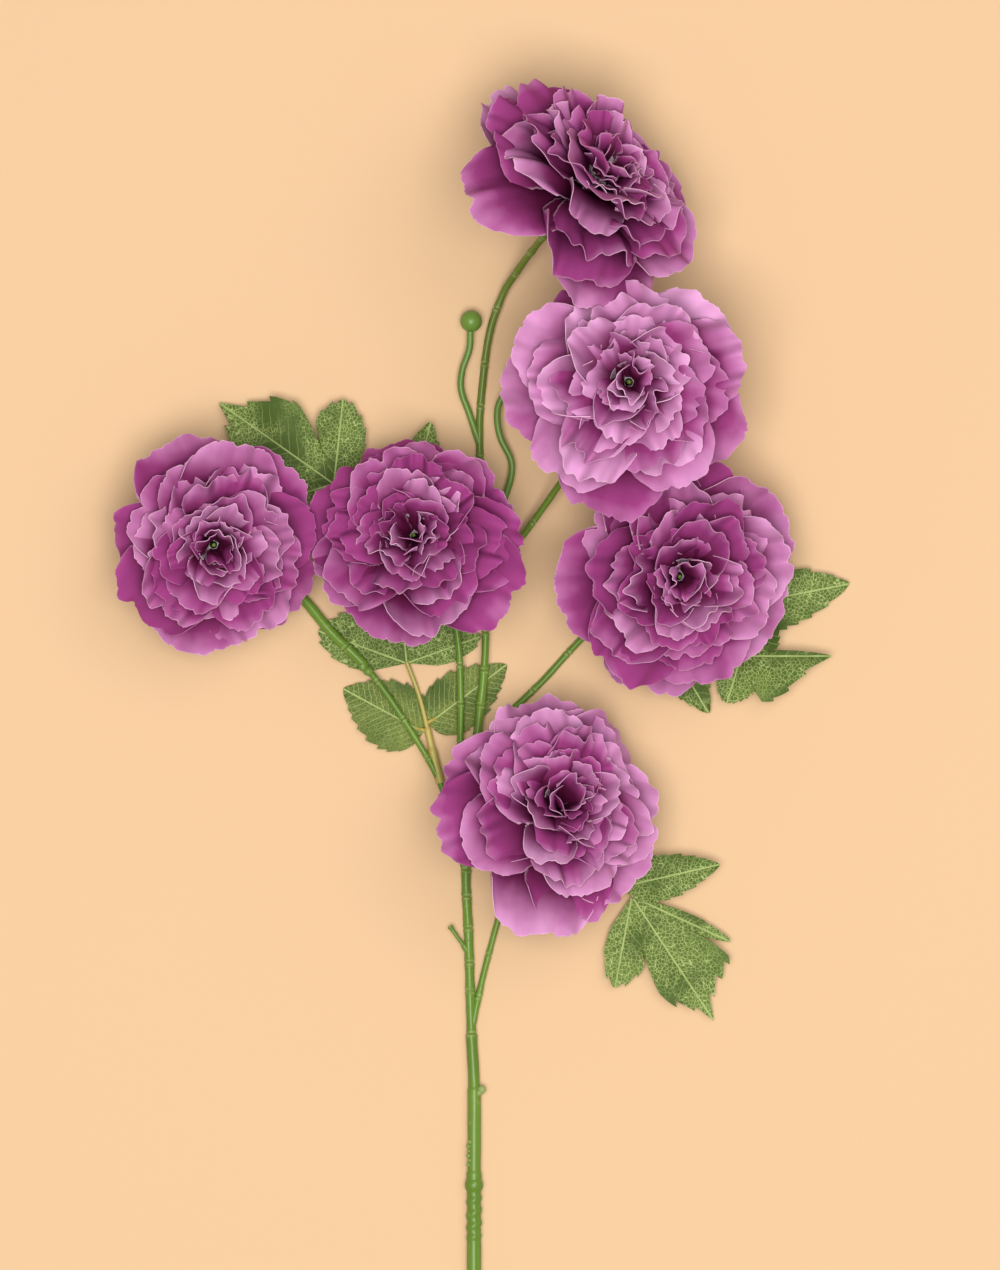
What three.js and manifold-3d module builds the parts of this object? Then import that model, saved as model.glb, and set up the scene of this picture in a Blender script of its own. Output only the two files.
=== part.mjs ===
// An artificial carnation spray, cut and lying on its back, with its flower heads facing up.
// A moulded plastic stem carries six fabric heads, two bead buds and four three-part leaves.
// Millimetres. +X is right, +Y runs from the cut end to the top head, +Z points up from the table.
// The exported group's origin is the middle of the underside of the whole spray's box.
import * as THREE from "three";
import { mergeVertices } from "three/addons/utils/BufferGeometryUtils.js";
import Module from "manifold-3d";

const wasm = await Module();
wasm.setup();

// ---- Driving dimensions ----------------------------------------------------------------------

const GAP = 0.3; // clearance between pieces that touch
const LOWER_STEM = { length: 159, radius: 2.6 };
const COLLAR = { beads: 5, pitch: 4.9, waist: 2.5, bulge: 2.95, topBulge: 3.4 };
const COLLAR_TOP = LOWER_STEM.length + COLLAR.beads * COLLAR.pitch;
const STEM_AXIS_HEIGHT = COLLAR.topBulge; // the top bead rests on the table
const MAIN_STEM_RADII = [2.4, 2, 1.7, 1.35]; // it steps down where the knob and branches are
const BRANCH_RADIUS = 1.25;
const BUD_STALK_RADIUS = 1.2;
const BUD_RADIUS = 4.05;
const LEAF_STALK_RADIUS = 0.9;
const LEAF_THICKNESS = 0.8;
const LEAF_TIP_HALF_WIDTH = 0.4;
const SIDE_LOBE = { length: 0.68, width: 0.85 }; // shares of an end leaf's middle lobe
const TUBE_SIDES = 8;
const TUBE_STEP = 9; // length of one straight stretch of a tube
const PIN_RADIUS = 3; // flat middle of a petal sheet, where the stem's pin goes through
const PETAL_THICKNESS = 1;
const BOWL_STEPS = 3;
const CALYX_DEPTH = 18;
const NECK_LENGTH = 6; // straight run of stem behind a calyx

// ---- Solids ----------------------------------------------------------------------------------

/** A closed three.js geometry as a manifold-3d solid. */
function solidOf(geometry) {
  const bare = geometry.clone();
  bare.deleteAttribute("normal");
  bare.deleteAttribute("uv");
  const merged = mergeVertices(bare, 1e-3);
  const mesh = new wasm.Mesh({
    numProp: 3,
    vertProperties: merged.attributes.position.array,
    triVerts: new Uint32Array(merged.index.array),
  });
  return new wasm.Manifold(mesh);
}

/** A manifold-3d solid as a three.js geometry. */
function geometryOf(solid) {
  const mesh = solid.getMesh();
  const geometry = new THREE.BufferGeometry();
  geometry.setAttribute("position", new THREE.BufferAttribute(mesh.vertProperties, 3));
  geometry.setIndex(new THREE.BufferAttribute(mesh.triVerts, 1));
  geometry.computeVertexNormals();
  return geometry;
}

const join = (geometries) => geometryOf(geometries.map(solidOf).reduce((a, b) => a.add(b)));

const cut = (geometry, tools) =>
  geometryOf(tools.map(solidOf).reduce((a, b) => a.subtract(b), solidOf(geometry)));

/** Moves each vertex of a geometry to where the function says. */
function moveVertices(geometry, move) {
  const position = geometry.attributes.position;
  const point = new THREE.Vector3();
  for (let i = 0; i < position.count; i += 1) {
    move(point.fromBufferAttribute(position, i));
    position.setXYZ(i, point.x, point.y, point.z);
  }
  return geometry;
}

// ---- Stems -----------------------------------------------------------------------------------

/** A round tube of one radius along a smooth route of [x, y, z] points. */
function tube(route, radius) {
  const curve = new THREE.CatmullRomCurve3(route.map((p) => new THREE.Vector3(...p)));
  const corners = Array.from({ length: TUBE_SIDES }, (_, i) => {
    const angle = ((i + 0.5) / TUBE_SIDES) * 2 * Math.PI;
    return new THREE.Vector2(Math.cos(angle) * radius, Math.sin(angle) * radius);
  });
  return new THREE.ExtrudeGeometry(new THREE.Shape(corners), {
    steps: Math.max(3, Math.round(curve.getLength() / TUBE_STEP)),
    bevelEnabled: false,
    extrudePath: curve,
  });
}

/** The thick lower stem, ending in the beaded collar that the main stem is set in. */
function lowerStem() {
  const { radius, length } = LOWER_STEM;
  const profile = [new THREE.Vector2(0, 0), new THREE.Vector2(radius, 0)];
  profile.push(new THREE.Vector2(radius, length - 1));
  for (let bead = 0; bead < COLLAR.beads; bead += 1) {
    const start = length + bead * COLLAR.pitch;
    const bulge = bead === COLLAR.beads - 1 ? COLLAR.topBulge : COLLAR.bulge;
    profile.push(new THREE.Vector2(COLLAR.waist, start));
    profile.push(new THREE.Vector2(bulge, start + COLLAR.pitch * 0.35));
    profile.push(new THREE.Vector2(bulge, start + COLLAR.pitch * 0.65));
  }
  profile.push(new THREE.Vector2(COLLAR.waist, COLLAR_TOP), new THREE.Vector2(0, COLLAR_TOP));
  return new THREE.LatheGeometry(profile, 12).translate(0, 0, STEM_AXIS_HEIGHT);
}

/** The main stem's sections, thickened by some clearance where it is used as a cutter. */
function mainStemSections(clearance = 0) {
  const whole = [...MAIN_ROUTE, ...neckOf(HEADS.top)];
  return MAIN_STEM_RADII.map((radius, i) => {
    const section = whole.slice(MAIN_STEM_STEPS[i], MAIN_STEM_STEPS[i + 1] + 1);
    return tube(section, radius + clearance);
  });
}

/** The main stem with its small side twig and knob. */
function mainStem() {
  const knob = new THREE.SphereGeometry(KNOB.radius, 8, 6).translate(...KNOB.at);
  return join([...mainStemSections(), tube(TWIG.route, TWIG.radius), knob]);
}

// ---- Flower heads ----------------------------------------------------------------------------

/** The line of a petal sheet from the pin to its rim, as [radius, height] points. */
function bowlLine({ base, reach, rise, fall }) {
  const line = [[0, 0]];
  for (let i = 0; i < BOWL_STEPS; i += 1) {
    const slope = THREE.MathUtils.degToRad(rise + ((fall - rise) * (i + 0.5)) / BOWL_STEPS);
    const [r, z] = line[i];
    line.push([r + Math.cos(slope), z + Math.sin(slope)]);
  }
  const scale = (reach - PIN_RADIUS) / line[BOWL_STEPS][0];
  return line.map(([r, z]) => new THREE.Vector2(PIN_RADIUS + r * scale, base + z * scale));
}

/** A sheet of petals as one closed bowl about +Z, notched between petals and waved at the rim. */
function petalSheet({ base, reach, rise, fall, petals, notch, wave }) {
  const under = [new THREE.Vector2(0, base), ...bowlLine({ base, reach, rise, fall })];
  const over = under.map((p) => new THREE.Vector2(p.x, p.y + PETAL_THICKNESS)).reverse();
  const bowl = new THREE.LatheGeometry([...under, ...over], petals * 5);
  bowl.rotateX(Math.PI / 2);
  return moveVertices(bowl, (p) => {
    const out = Math.max(0, (Math.hypot(p.x, p.y) - PIN_RADIUS) / (reach - PIN_RADIUS));
    const turn = petals * Math.atan2(p.y, p.x);
    const keep = 1 - notch * out * out * (1 - Math.sqrt(Math.abs(Math.cos(turn / 2))));
    p.set(p.x * keep, p.y * keep, p.z + wave * out * out * Math.cos(turn));
  });
}

/** The green cup behind the petals. */
function calyx() {
  const profile = [
    [0, -CALYX_DEPTH],
    [1.8, -CALYX_DEPTH],
    [3.4, -CALYX_DEPTH + 4],
    [5.6, -CALYX_DEPTH + 10],
    [6.4, -2.4],
    [5.6, -GAP],
    [0, -GAP],
  ];
  const cup = new THREE.LatheGeometry(profile.map((p) => new THREE.Vector2(...p)), 12);
  return cup.rotateX(Math.PI / 2);
}

const PETAL_SHEETS = {
  outer_petals: { base: 0, reach: 42, rise: 26, fall: -44, petals: 6, notch: 0.34, wave: 1.6 },
  middle_petals: { base: 2.6, reach: 34, rise: 42, fall: -12, petals: 5, notch: 0.24, wave: 1.4 },
  inner_petals: { base: 5.2, reach: 23.5, rise: 58, fall: 8, petals: 4, notch: 0.2, wave: 1 },
  heart_petals: { base: 7.8, reach: 11.5, rise: 80, fall: 40, petals: 3, notch: 0.18, wave: 0.8 },
};

// Where each head's petals meet its calyx, the way it faces, and its size against a full one.
const HEADS = {
  left: { at: [-97, 419, 31], faces: [0.13, -0.08, 0.99], size: 0.94 },
  centre: { at: [-20, 419, 34], faces: [-0.17, 0.22, 0.96], size: 0.94 },
  right: { at: [73, 408, 30], faces: [0.2, -0.12, 0.97], size: 1.02 },
  upper: { at: [56, 477, 58], faces: [0.05, 0.02, 1], size: 1.02 },
  low: { at: [27, 320, 33], faces: [0.3, 0.22, 0.93], size: 1 },
  top: { at: [38.5, 544.5, 48], faces: [0.53, 0.53, 0.66], size: 1.04 },
};

/** The end of a stem that runs straight in to the underside of a head's calyx. */
function neckOf({ at, faces, size }) {
  const forward = new THREE.Vector3(...faces).normalize();
  return [CALYX_DEPTH * size + NECK_LENGTH, CALYX_DEPTH * size + 2 * GAP].map((back) =>
    new THREE.Vector3(...at).addScaledVector(forward, -back).toArray(),
  );
}

// ---- Leaves ----------------------------------------------------------------------------------

/** A pointed blade from the origin along +Y: a thin box drawn in to a leaf's outline. */
function blade(length, width) {
  const box = new THREE.BoxGeometry(1, 1, LEAF_THICKNESS, 2, 5, 1);
  return moveVertices(box, (p) => {
    const along = p.y + 0.5;
    const half = LEAF_TIP_HALF_WIDTH + (width / 2) * Math.sin(Math.PI * along ** 0.8) ** 0.8;
    p.set(2 * p.x * half, along * length, p.z);
  });
}

/** An end leaf: a middle lobe and two shorter ones spread to its sides. */
function lobedBlade(length, width, spread) {
  const lobe = (turn) =>
    blade(length * SIDE_LOBE.length, width * SIDE_LOBE.width).rotateZ(THREE.MathUtils.degToRad(turn));
  return join([blade(length, width), lobe(spread), lobe(-spread)]);
}

/** Lays a blade from one point to another, with its face up. */
function layLeaf(geometry, from, to) {
  const along = new THREE.Vector3(...to).sub(new THREE.Vector3(...from)).normalize();
  const side = new THREE.Vector3().crossVectors(along, new THREE.Vector3(0, 0, 1)).normalize();
  const face = new THREE.Vector3().crossVectors(side, along);
  const place = new THREE.Matrix4().makeBasis(side, along, face).setPosition(...from);
  return geometry.applyMatrix4(place);
}

const distance = (a, b) => new THREE.Vector3(...a).distanceTo(new THREE.Vector3(...b));

// ---- Routes and places -----------------------------------------------------------------------

const MAIN_STEM_STEPS = [0, 1, 2, 6, 18]; // the points of the route where its sections start
const MAIN_ROUTE = [
  [0, COLLAR_TOP + GAP, STEM_AXIS_HEIGHT],
  [0, 217, 3],
  [-1, 238, 2.4],
  [-2, 272, 1.95],
  [-3, 298, 2.2],
  [-1, 326, 3.4],
  [1, 346, 4.4],
  [4, 376, 5],
  [4, 402, 4.6],
  [3, 431, 3],
  [2, 461, 1.6],
  [3.2, 479, 2],
  [6, 498, 3.6],
  [11, 512, 6],
  [15.5, 519, 10.5],
  [20, 525, 18],
];

// A cut-off side twig and the scar of another.
const TWIG = { route: [[-2, 267, 2.2], [-5.5, 272, 3], [-9, 277, 3.6]], radius: 0.8 };
const KNOB = { at: [2.7, 216.5, 3.8], radius: 1.6 };

const BRANCHES = {
  left: [
    [-3, 297, 2.2],
    [-8, 313, 3],
    [-13, 331, 4.4],
    [-27, 355, 5],
    [-40, 373, 5],
    [-53, 386, 4],
    [-64, 399, 2.4],
    [-78, 411, 1.6],
    [-93, 419, 5],
  ],
  centre: [
    [-1.4, 320, 3.2],
    [-4.8, 335, 4.2],
    [-5, 361, 5.4],
    [-6, 383, 6.6],
    [-10, 402, 8],
  ],
  right: [
    [1, 343, 4.2],
    [13, 356, 2.8],
    [25, 367.5, 1.7],
    [36, 379.5, 1.5],
    [51, 395, 1.8],
    [64, 406, 5.5],
  ],
  upper: [
    [4, 401, 4.6],
    [11, 413, 4.6],
    [19, 423, 7],
    [29, 437, 13],
    [43, 457, 25],
  ],
  low: [
    [-0.6, 240, 2.4],
    [3, 257, 2.2],
    [9, 280, 2.2],
    [14, 298, 4.6],
  ],
};

const BUDS = {
  left: {
    stalk: [[2, 456, 1.6], [-1.8, 467, 3], [-4.8, 476, 4], [-4.4, 483, 4.5], [-1.8, 491, 5], [-1.4, 497, 5]],
  },
  right: {
    stalk: [[3.5, 421, 3], [11, 435, 3.4], [14, 448, 5], [9.5, 459, 6], [8.8, 469, 6], [12.6, 477, 6]],
  },
};

// Each leaf spray has a stalk that leaves a stem, a lobed end leaf and two side leaves.
const LEAVES = {
  upper_left: {
    stem: "main",
    stalk: [[3, 414, 3.6], [-24, 424, 4], [-46, 433, 5], [-54, 438, 5]],
    end: { from: [-54, 439, 5], to: [-94.5, 471.5, 3], width: 30, spread: 62 },
    sides: [
      { from: [-26, 425, 4], to: [-16, 464, 8], width: 19 },
      { from: [-31, 426, 4.6], to: [-34, 396, 9], width: 17 },
    ],
  },
  lower_left: {
    stem: "left",
    stalk: [[-12.5, 330, 4.4], [-15, 340, 3.4], [-20, 361, 2.2], [-25, 375, 2]],
    end: { from: [-25, 375, 2.1], to: [-29, 413, 1.2], width: 27, spread: 68 },
    sides: [
      { from: [-19, 349, 1], to: [-48.5, 365, 0.6], width: 24 },
      { from: [-17, 352, 1], to: [12, 374, 0.8], width: 21 },
    ],
  },
  right: {
    stem: "right",
    stalk: [[51, 395, 1.8], [69, 383, 3.4], [84, 379, 5], [97, 379, 6]],
    end: { from: [98, 378, 6], to: [132.5, 377, 7], width: 26, spread: 66 },
    sides: [
      { from: [91, 391, 4], to: [139, 404, 1], width: 22 },
      { from: [72, 381, 3.6], to: [87, 356, 2], width: 15 },
    ],
  },
  low: {
    stem: "low",
    stalk: [[14, 298, 4.6], [32, 297, 4], [47, 294, 4], [59, 289, 4]],
    end: { from: [59, 289, 4], to: [89, 242, 1.2], width: 34, spread: 38 },
    sides: [
      { from: [56, 292, 5.8], to: [91, 300, 8], width: 16 },
      { from: [41, 295, 4], to: [25, 280, 2], width: 14 },
    ],
  },
};

// ---- Materials -------------------------------------------------------------------------------

const material = (color, roughness) =>
  new THREE.MeshStandardMaterial({ color, roughness, metalness: 0 });

const STEM_PLASTIC = material(0x5c8f3a, 0.45);
const STALK_PLASTIC = material(0x97a04a, 0.5);
const LEAF_FABRIC = material(0x4f7a3c, 0.8);
const PETAL_FABRIC = material(0x9c4f93, 0.85);

// ---- Assembly --------------------------------------------------------------------------------

const spray = new THREE.Group();

/** Adds one named piece to a group. */
function add(name, geometry, finish, group = spray) {
  const mesh = new THREE.Mesh(geometry, finish);
  mesh.name = name;
  group.add(mesh);
}

add("lower_stem", lowerStem(), STEM_PLASTIC);
add("main_stem", mainStem(), STEM_PLASTIC);

const stemCutters = { main: mainStemSections(GAP) };
for (const [name, route] of Object.entries(BRANCHES)) {
  const whole = [...route, ...neckOf(HEADS[name])];
  add(`${name}_branch`, cut(tube(whole, BRANCH_RADIUS), stemCutters.main), STEM_PLASTIC);
  stemCutters[name] = [tube(whole, BRANCH_RADIUS + GAP)];
}

for (const [name, { stalk }] of Object.entries(BUDS)) {
  const bud = new THREE.SphereGeometry(BUD_RADIUS, 12, 8);
  const end = new THREE.Vector3(...stalk.at(-1));
  const way = end.clone().sub(new THREE.Vector3(...stalk.at(-2))).normalize();
  bud.translate(...end.addScaledVector(way, BUD_RADIUS + GAP).toArray());
  add(`${name}_bud`, bud, STEM_PLASTIC);
  add(`${name}_bud_stalk`, cut(tube(stalk, BUD_STALK_RADIUS), stemCutters.main), STEM_PLASTIC);
}

for (const [name, { stem, stalk, end, sides }] of Object.entries(LEAVES)) {
  const around = tube(stalk, LEAF_STALK_RADIUS + GAP);
  add(`${name}_leaf_stalk`, cut(tube(stalk, LEAF_STALK_RADIUS), stemCutters[stem]), STALK_PLASTIC);
  const endBlade = lobedBlade(distance(end.from, end.to), end.width, end.spread);
  add(`${name}_end_leaf`, cut(layLeaf(endBlade, end.from, end.to), [around]), LEAF_FABRIC);
  sides.forEach(({ from, to, width }, i) => {
    const leaf = layLeaf(blade(distance(from, to), width), from, to);
    add(`${name}_side_leaf_${i + 1}`, cut(leaf, [around]), LEAF_FABRIC);
  });
}

for (const [name, { at, faces, size }] of Object.entries(HEADS)) {
  const head = new THREE.Group();
  const forward = new THREE.Vector3(...faces).normalize();
  head.position.set(...at);
  head.quaternion.setFromUnitVectors(new THREE.Vector3(0, 0, 1), forward);
  head.scale.setScalar(size);
  add(`${name}_calyx`, calyx(), STEM_PLASTIC, head);
  for (const [sheet, shape] of Object.entries(PETAL_SHEETS)) {
    add(`${name}_${sheet}`, petalSheet(shape), PETAL_FABRIC, head);
  }
  spray.add(head);
}

const box = new THREE.Box3().setFromObject(spray, true);
const middle = box.getCenter(new THREE.Vector3());
spray.position.set(-middle.x, -middle.y, -box.min.z);

const part = new THREE.Group();
part.add(spray);

export default part;
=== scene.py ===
"""A cloth and plastic carnation spray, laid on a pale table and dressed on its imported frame."""

import logging
import math
import random
from collections.abc import Callable, Sequence
from dataclasses import dataclass, field
from enum import Enum
from typing import Any

import bmesh
import bpy
from mathutils import Matrix, Vector, geometry, noise


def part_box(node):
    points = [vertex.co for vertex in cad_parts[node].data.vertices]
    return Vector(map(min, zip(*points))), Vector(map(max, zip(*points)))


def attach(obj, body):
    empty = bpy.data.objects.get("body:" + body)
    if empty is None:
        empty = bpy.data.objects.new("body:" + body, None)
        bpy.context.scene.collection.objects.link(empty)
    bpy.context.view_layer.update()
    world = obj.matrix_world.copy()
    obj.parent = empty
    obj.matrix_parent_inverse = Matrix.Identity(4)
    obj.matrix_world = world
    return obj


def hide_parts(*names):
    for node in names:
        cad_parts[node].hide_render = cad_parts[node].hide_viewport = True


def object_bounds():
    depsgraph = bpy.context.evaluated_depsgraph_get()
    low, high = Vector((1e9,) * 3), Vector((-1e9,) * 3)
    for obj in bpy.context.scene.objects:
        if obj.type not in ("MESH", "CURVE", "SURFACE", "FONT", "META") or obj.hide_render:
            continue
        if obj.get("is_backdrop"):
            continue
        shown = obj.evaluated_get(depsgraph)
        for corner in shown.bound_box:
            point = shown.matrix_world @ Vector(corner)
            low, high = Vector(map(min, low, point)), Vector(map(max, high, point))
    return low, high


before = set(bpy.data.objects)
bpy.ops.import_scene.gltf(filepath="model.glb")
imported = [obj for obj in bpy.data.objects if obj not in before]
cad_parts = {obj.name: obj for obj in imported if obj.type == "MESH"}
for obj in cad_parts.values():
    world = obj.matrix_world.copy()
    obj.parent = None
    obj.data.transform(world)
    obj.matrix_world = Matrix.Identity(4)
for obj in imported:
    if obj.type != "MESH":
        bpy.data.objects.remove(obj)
CAD_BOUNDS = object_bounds()

LOG = logging.getLogger("carnation_spray")
BODY = "root"
MM = 0.001
UP = Vector((0, 0, 1))
VIEW_MIDDLE = Vector((9.6, 385, 12))
Route = Sequence[tuple[float, float, float]]
Colour = tuple[float, float, float]


# ---- Shader maths ------------------------------------------------------------------------------


class Num:
    """A number that varies over a surface, written with as a Python number is."""

    def __init__(self, shader: "Shader", socket: bpy.types.NodeSocket) -> None:
        """Wraps one output socket of a shader's node."""
        self.shader = shader
        self.socket = socket

    def maths(self, operation: str, *values: Any) -> "Num":
        """The result of one Math node.

        Args:
            operation: The Math node's operation.
            values: Its inputs in order, each a Num or a plain number.

        Returns:
            The node's output.
        """
        made = self.shader.node(
            "ShaderNodeMath", {"operation": operation}, dict(enumerate(values))
        )
        return Num(self.shader, made.outputs[0])

    def __add__(self, other: Any) -> "Num":
        """This plus a number."""
        return self.maths("ADD", self, other)

    def __sub__(self, other: Any) -> "Num":
        """This less a number."""
        return self.maths("SUBTRACT", self, other)

    def __rsub__(self, other: Any) -> "Num":
        """A number less this."""
        return self.maths("SUBTRACT", other, self)

    def __mul__(self, other: Any) -> "Num":
        """This times a number."""
        return self.maths("MULTIPLY", self, other)

    def __truediv__(self, other: Any) -> "Num":
        """This over a number."""
        return self.maths("DIVIDE", self, other)

    __radd__ = __add__
    __rmul__ = __mul__

    def abs(self) -> "Num":
        """This without its sign."""
        return self.maths("ABSOLUTE", self)

    def sin(self) -> "Num":
        """The sine of this, in radians."""
        return self.maths("SINE", self)

    def fract(self) -> "Num":
        """The part of this after the point."""
        return self.maths("FRACT", self)

    def least(self, other: Any) -> "Num":
        """The smaller of this and a number."""
        return self.maths("MINIMUM", self, other)

    def most(self, other: Any) -> "Num":
        """The larger of this and a number."""
        return self.maths("MAXIMUM", self, other)

    def step(self, low: float, high: float) -> "Num":
        """A smooth step of this, 0 at low and 1 at high; low may be the larger.

        Args:
            low: Where the step is 0.
            high: Where the step is 1.

        Returns:
            A number from 0 to 1.
        """
        turned = low > high
        ends = (high, low) if turned else (low, high)
        made = self.shader.node(
            "ShaderNodeMapRange",
            {"interpolation_type": "SMOOTHSTEP"},
            {"Value": self, "From Min": ends[0], "From Max": ends[1]},
        )
        step = Num(self.shader, made.outputs[0])
        return 1 - step if turned else step


class Shader:
    """The nodes of one material around a Principled BSDF."""

    def __init__(self, name: str) -> None:
        """Starts an empty material of that name.

        Args:
            name: The material's name.
        """
        self.material = bpy.data.materials.new(name)
        self.material.use_nodes = True
        self.tree = self.material.node_tree
        self.tree.nodes.clear()
        self.surface = self.node("ShaderNodeBsdfPrincipled", {}, {})
        self.node("ShaderNodeOutputMaterial", {}, {"Surface": self.surface.outputs[0]})

    def node(self, kind: str, settings: dict[str, Any], sockets: dict[Any, Any]) -> bpy.types.Node:
        """Adds a node.

        Args:
            kind: The node's type.
            settings: Its own settings, set before its sockets.
            sockets: The value or the link of each input, by name or number.

        Returns:
            The new node.
        """
        made = self.tree.nodes.new(kind)
        for name, value in settings.items():
            setattr(made, name, value)
        for name, value in sockets.items():
            self.plug(made.inputs[name], value)
        return made

    def plug(self, target: bpy.types.NodeSocket, value: Any) -> None:
        """Links a Num or a socket to an input, or sets its value.

        Args:
            target: The input.
            value: A Num, a socket, a colour or a plain value.
        """
        source = value.socket if isinstance(value, Num) else value
        if isinstance(source, bpy.types.NodeSocket):
            self.tree.links.new(source, target)
        elif isinstance(source, tuple) and len(source) == 3 and target.type == "RGBA":
            target.default_value = (*source, 1)
        else:
            target.default_value = source

    def set(self, **sockets: Any) -> None:
        """Sets or links sockets of the surface, their names written with underscores."""
        for name, value in sockets.items():
            self.plug(self.surface.inputs[name.replace("_", " ")], value)

    def attribute(self, name: str) -> Num:
        """A number kept on the mesh."""
        made = self.node("ShaderNodeAttribute", {"attribute_name": name}, {})
        return Num(self, made.outputs["Fac"])

    def object_place(self) -> bpy.types.NodeSocket:
        """The surface's place in the object's own coordinates."""
        return self.node("ShaderNodeTexCoord", {}, {}).outputs["Object"]

    def cloth_place(self) -> bpy.types.NodeSocket:
        """The surface's place on the flat cloth, in centimetres."""
        return self.node("ShaderNodeUVMap", {"uv_map": "cloth"}, {}).outputs[0]

    def split(self, vector: bpy.types.NodeSocket) -> tuple[Num, Num, Num]:
        """The three parts of a vector."""
        made = self.node("ShaderNodeSeparateXYZ", {}, {0: vector})
        return Num(self, made.outputs[0]), Num(self, made.outputs[1]), Num(self, made.outputs[2])

    def noise(self, place: bpy.types.NodeSocket, scale: float, detail: float = 2) -> Num:
        """A cloudy noise from 0 to 1.

        Args:
            place: The coordinates it is read at.
            scale: Its waves for each unit of the coordinates.
            detail: How many finer waves are laid over it.

        Returns:
            The noise.
        """
        made = self.node(
            "ShaderNodeTexNoise", {}, {"Vector": place, "Scale": scale, "Detail": detail}
        )
        return Num(self, made.outputs["Fac"])

    def mix(self, share: Any, first: Any, second: Any) -> bpy.types.NodeSocket:
        """A colour between two.

        Args:
            share: How much of the second, from 0 to 1.
            first: The colour at 0.
            second: The colour at 1.

        Returns:
            The mixed colour.
        """
        made = self.node("ShaderNodeMix", {"data_type": "RGBA"}, {0: share, 6: first, 7: second})
        return made.outputs[2]

    def bump(self, height: Num, distance: float, strength: float) -> bpy.types.NodeSocket:
        """A normal that leans with a height.

        Args:
            height: The height, from 0 to 1.
            distance: The height's real range, in metres.
            strength: How much of it is used.

        Returns:
            The normal.
        """
        made = self.node(
            "ShaderNodeBump", {}, {"Height": height, "Distance": distance, "Strength": strength}
        )
        return made.outputs[0]


# ---- Finishes ----------------------------------------------------------------------------------


@dataclass(frozen=True)
class PetalCloth:
    """Thin dyed cloth: purple, blotched with pink, with painted shade on the inner part of each
    petal where the petals overlap, and a pale cut edge that is partly frayed cloth and partly a
    painted highlight on the lit lip.
    """

    # Painted shade: the dark colour laid on the inner part of each petal, standing in for the shade
    # where petals overlap.
    painted_shade: Colour = (0.075, 0.003, 0.026)
    purple: Colour = (0.35, 0.055, 0.232)
    pink: Colour = (0.765, 0.385, 0.675)
    # Pale cut edge: partly frayed cloth, partly a painted highlight where the lip of the petal
    # catches the light.
    edge: Colour = (0.86, 0.60, 0.70)
    blotches: float = 42
    threads: float = 190
    pleats: float = 46
    fibres: float = 1500
    grain_depth: float = 0.0002

    def material(self) -> bpy.types.Material:
        """The material of every petal.

        Returns:
            The new material.
        """
        shader = Shader("petal_cloth")
        place = shader.object_place()
        cloth = shader.cloth_place()
        tone = shader.attribute("tone")
        rim = shader.attribute("rim")
        along = shader.attribute("along")
        strong = shader.attribute("strong")
        blotch = shader.noise(place, self.blotches, 3)
        # Pinker out along the petal: the blotches, the random tone and each head's strength of dye
        # are the cloth's own colour; the rise along the petal is partly the cloth's own and partly
        # painted light, dark at the overlapped base and lit at the tip.
        pink_and_painted_light = along * 1.5 + blotch * 1.4 + tone * 0.7 - 1.85 - strong * 0.5
        dye = shader.mix(pink_and_painted_light.least(1).most(0), self.purple, self.pink)
        # Painted shade: darkens the inner part of each petal, most at its base, where the petals
        # overlap and shade each other.
        painted_throat_shade = (along + blotch * 0.25 - strong * 0.08).step(1.13, 0.52)
        dye = shader.mix(painted_throat_shade * 0.94, dye, self.painted_shade)
        # Pale along the cut edge: partly frayed cloth, partly a painted highlight on the lit lip.
        fray = (rim + shader.noise(place, 900, 1) * 0.5).step(0.62, 0.34)
        dye = shader.mix(fray * (tone * 0.35 + blotch * 0.25), dye, self.edge)
        across, down, _ = shader.split(cloth)
        weave = ((across * self.threads).sin() + (down * self.threads).sin()) * 0.25 + 0.5
        pleats = (across.maths("ARCTAN2", across, down + 0.4) * self.pleats + blotch * 5).sin()
        grain = weave * 0.25 + shader.noise(place, self.fibres) * 0.35 + pleats * 0.2
        shader.set(
            Base_Color=dye,
            Roughness=0.8,
            Specular_IOR_Level=0.06,
            Normal=shader.bump(grain, self.grain_depth, 0.6),
        )
        return shader.material


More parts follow.
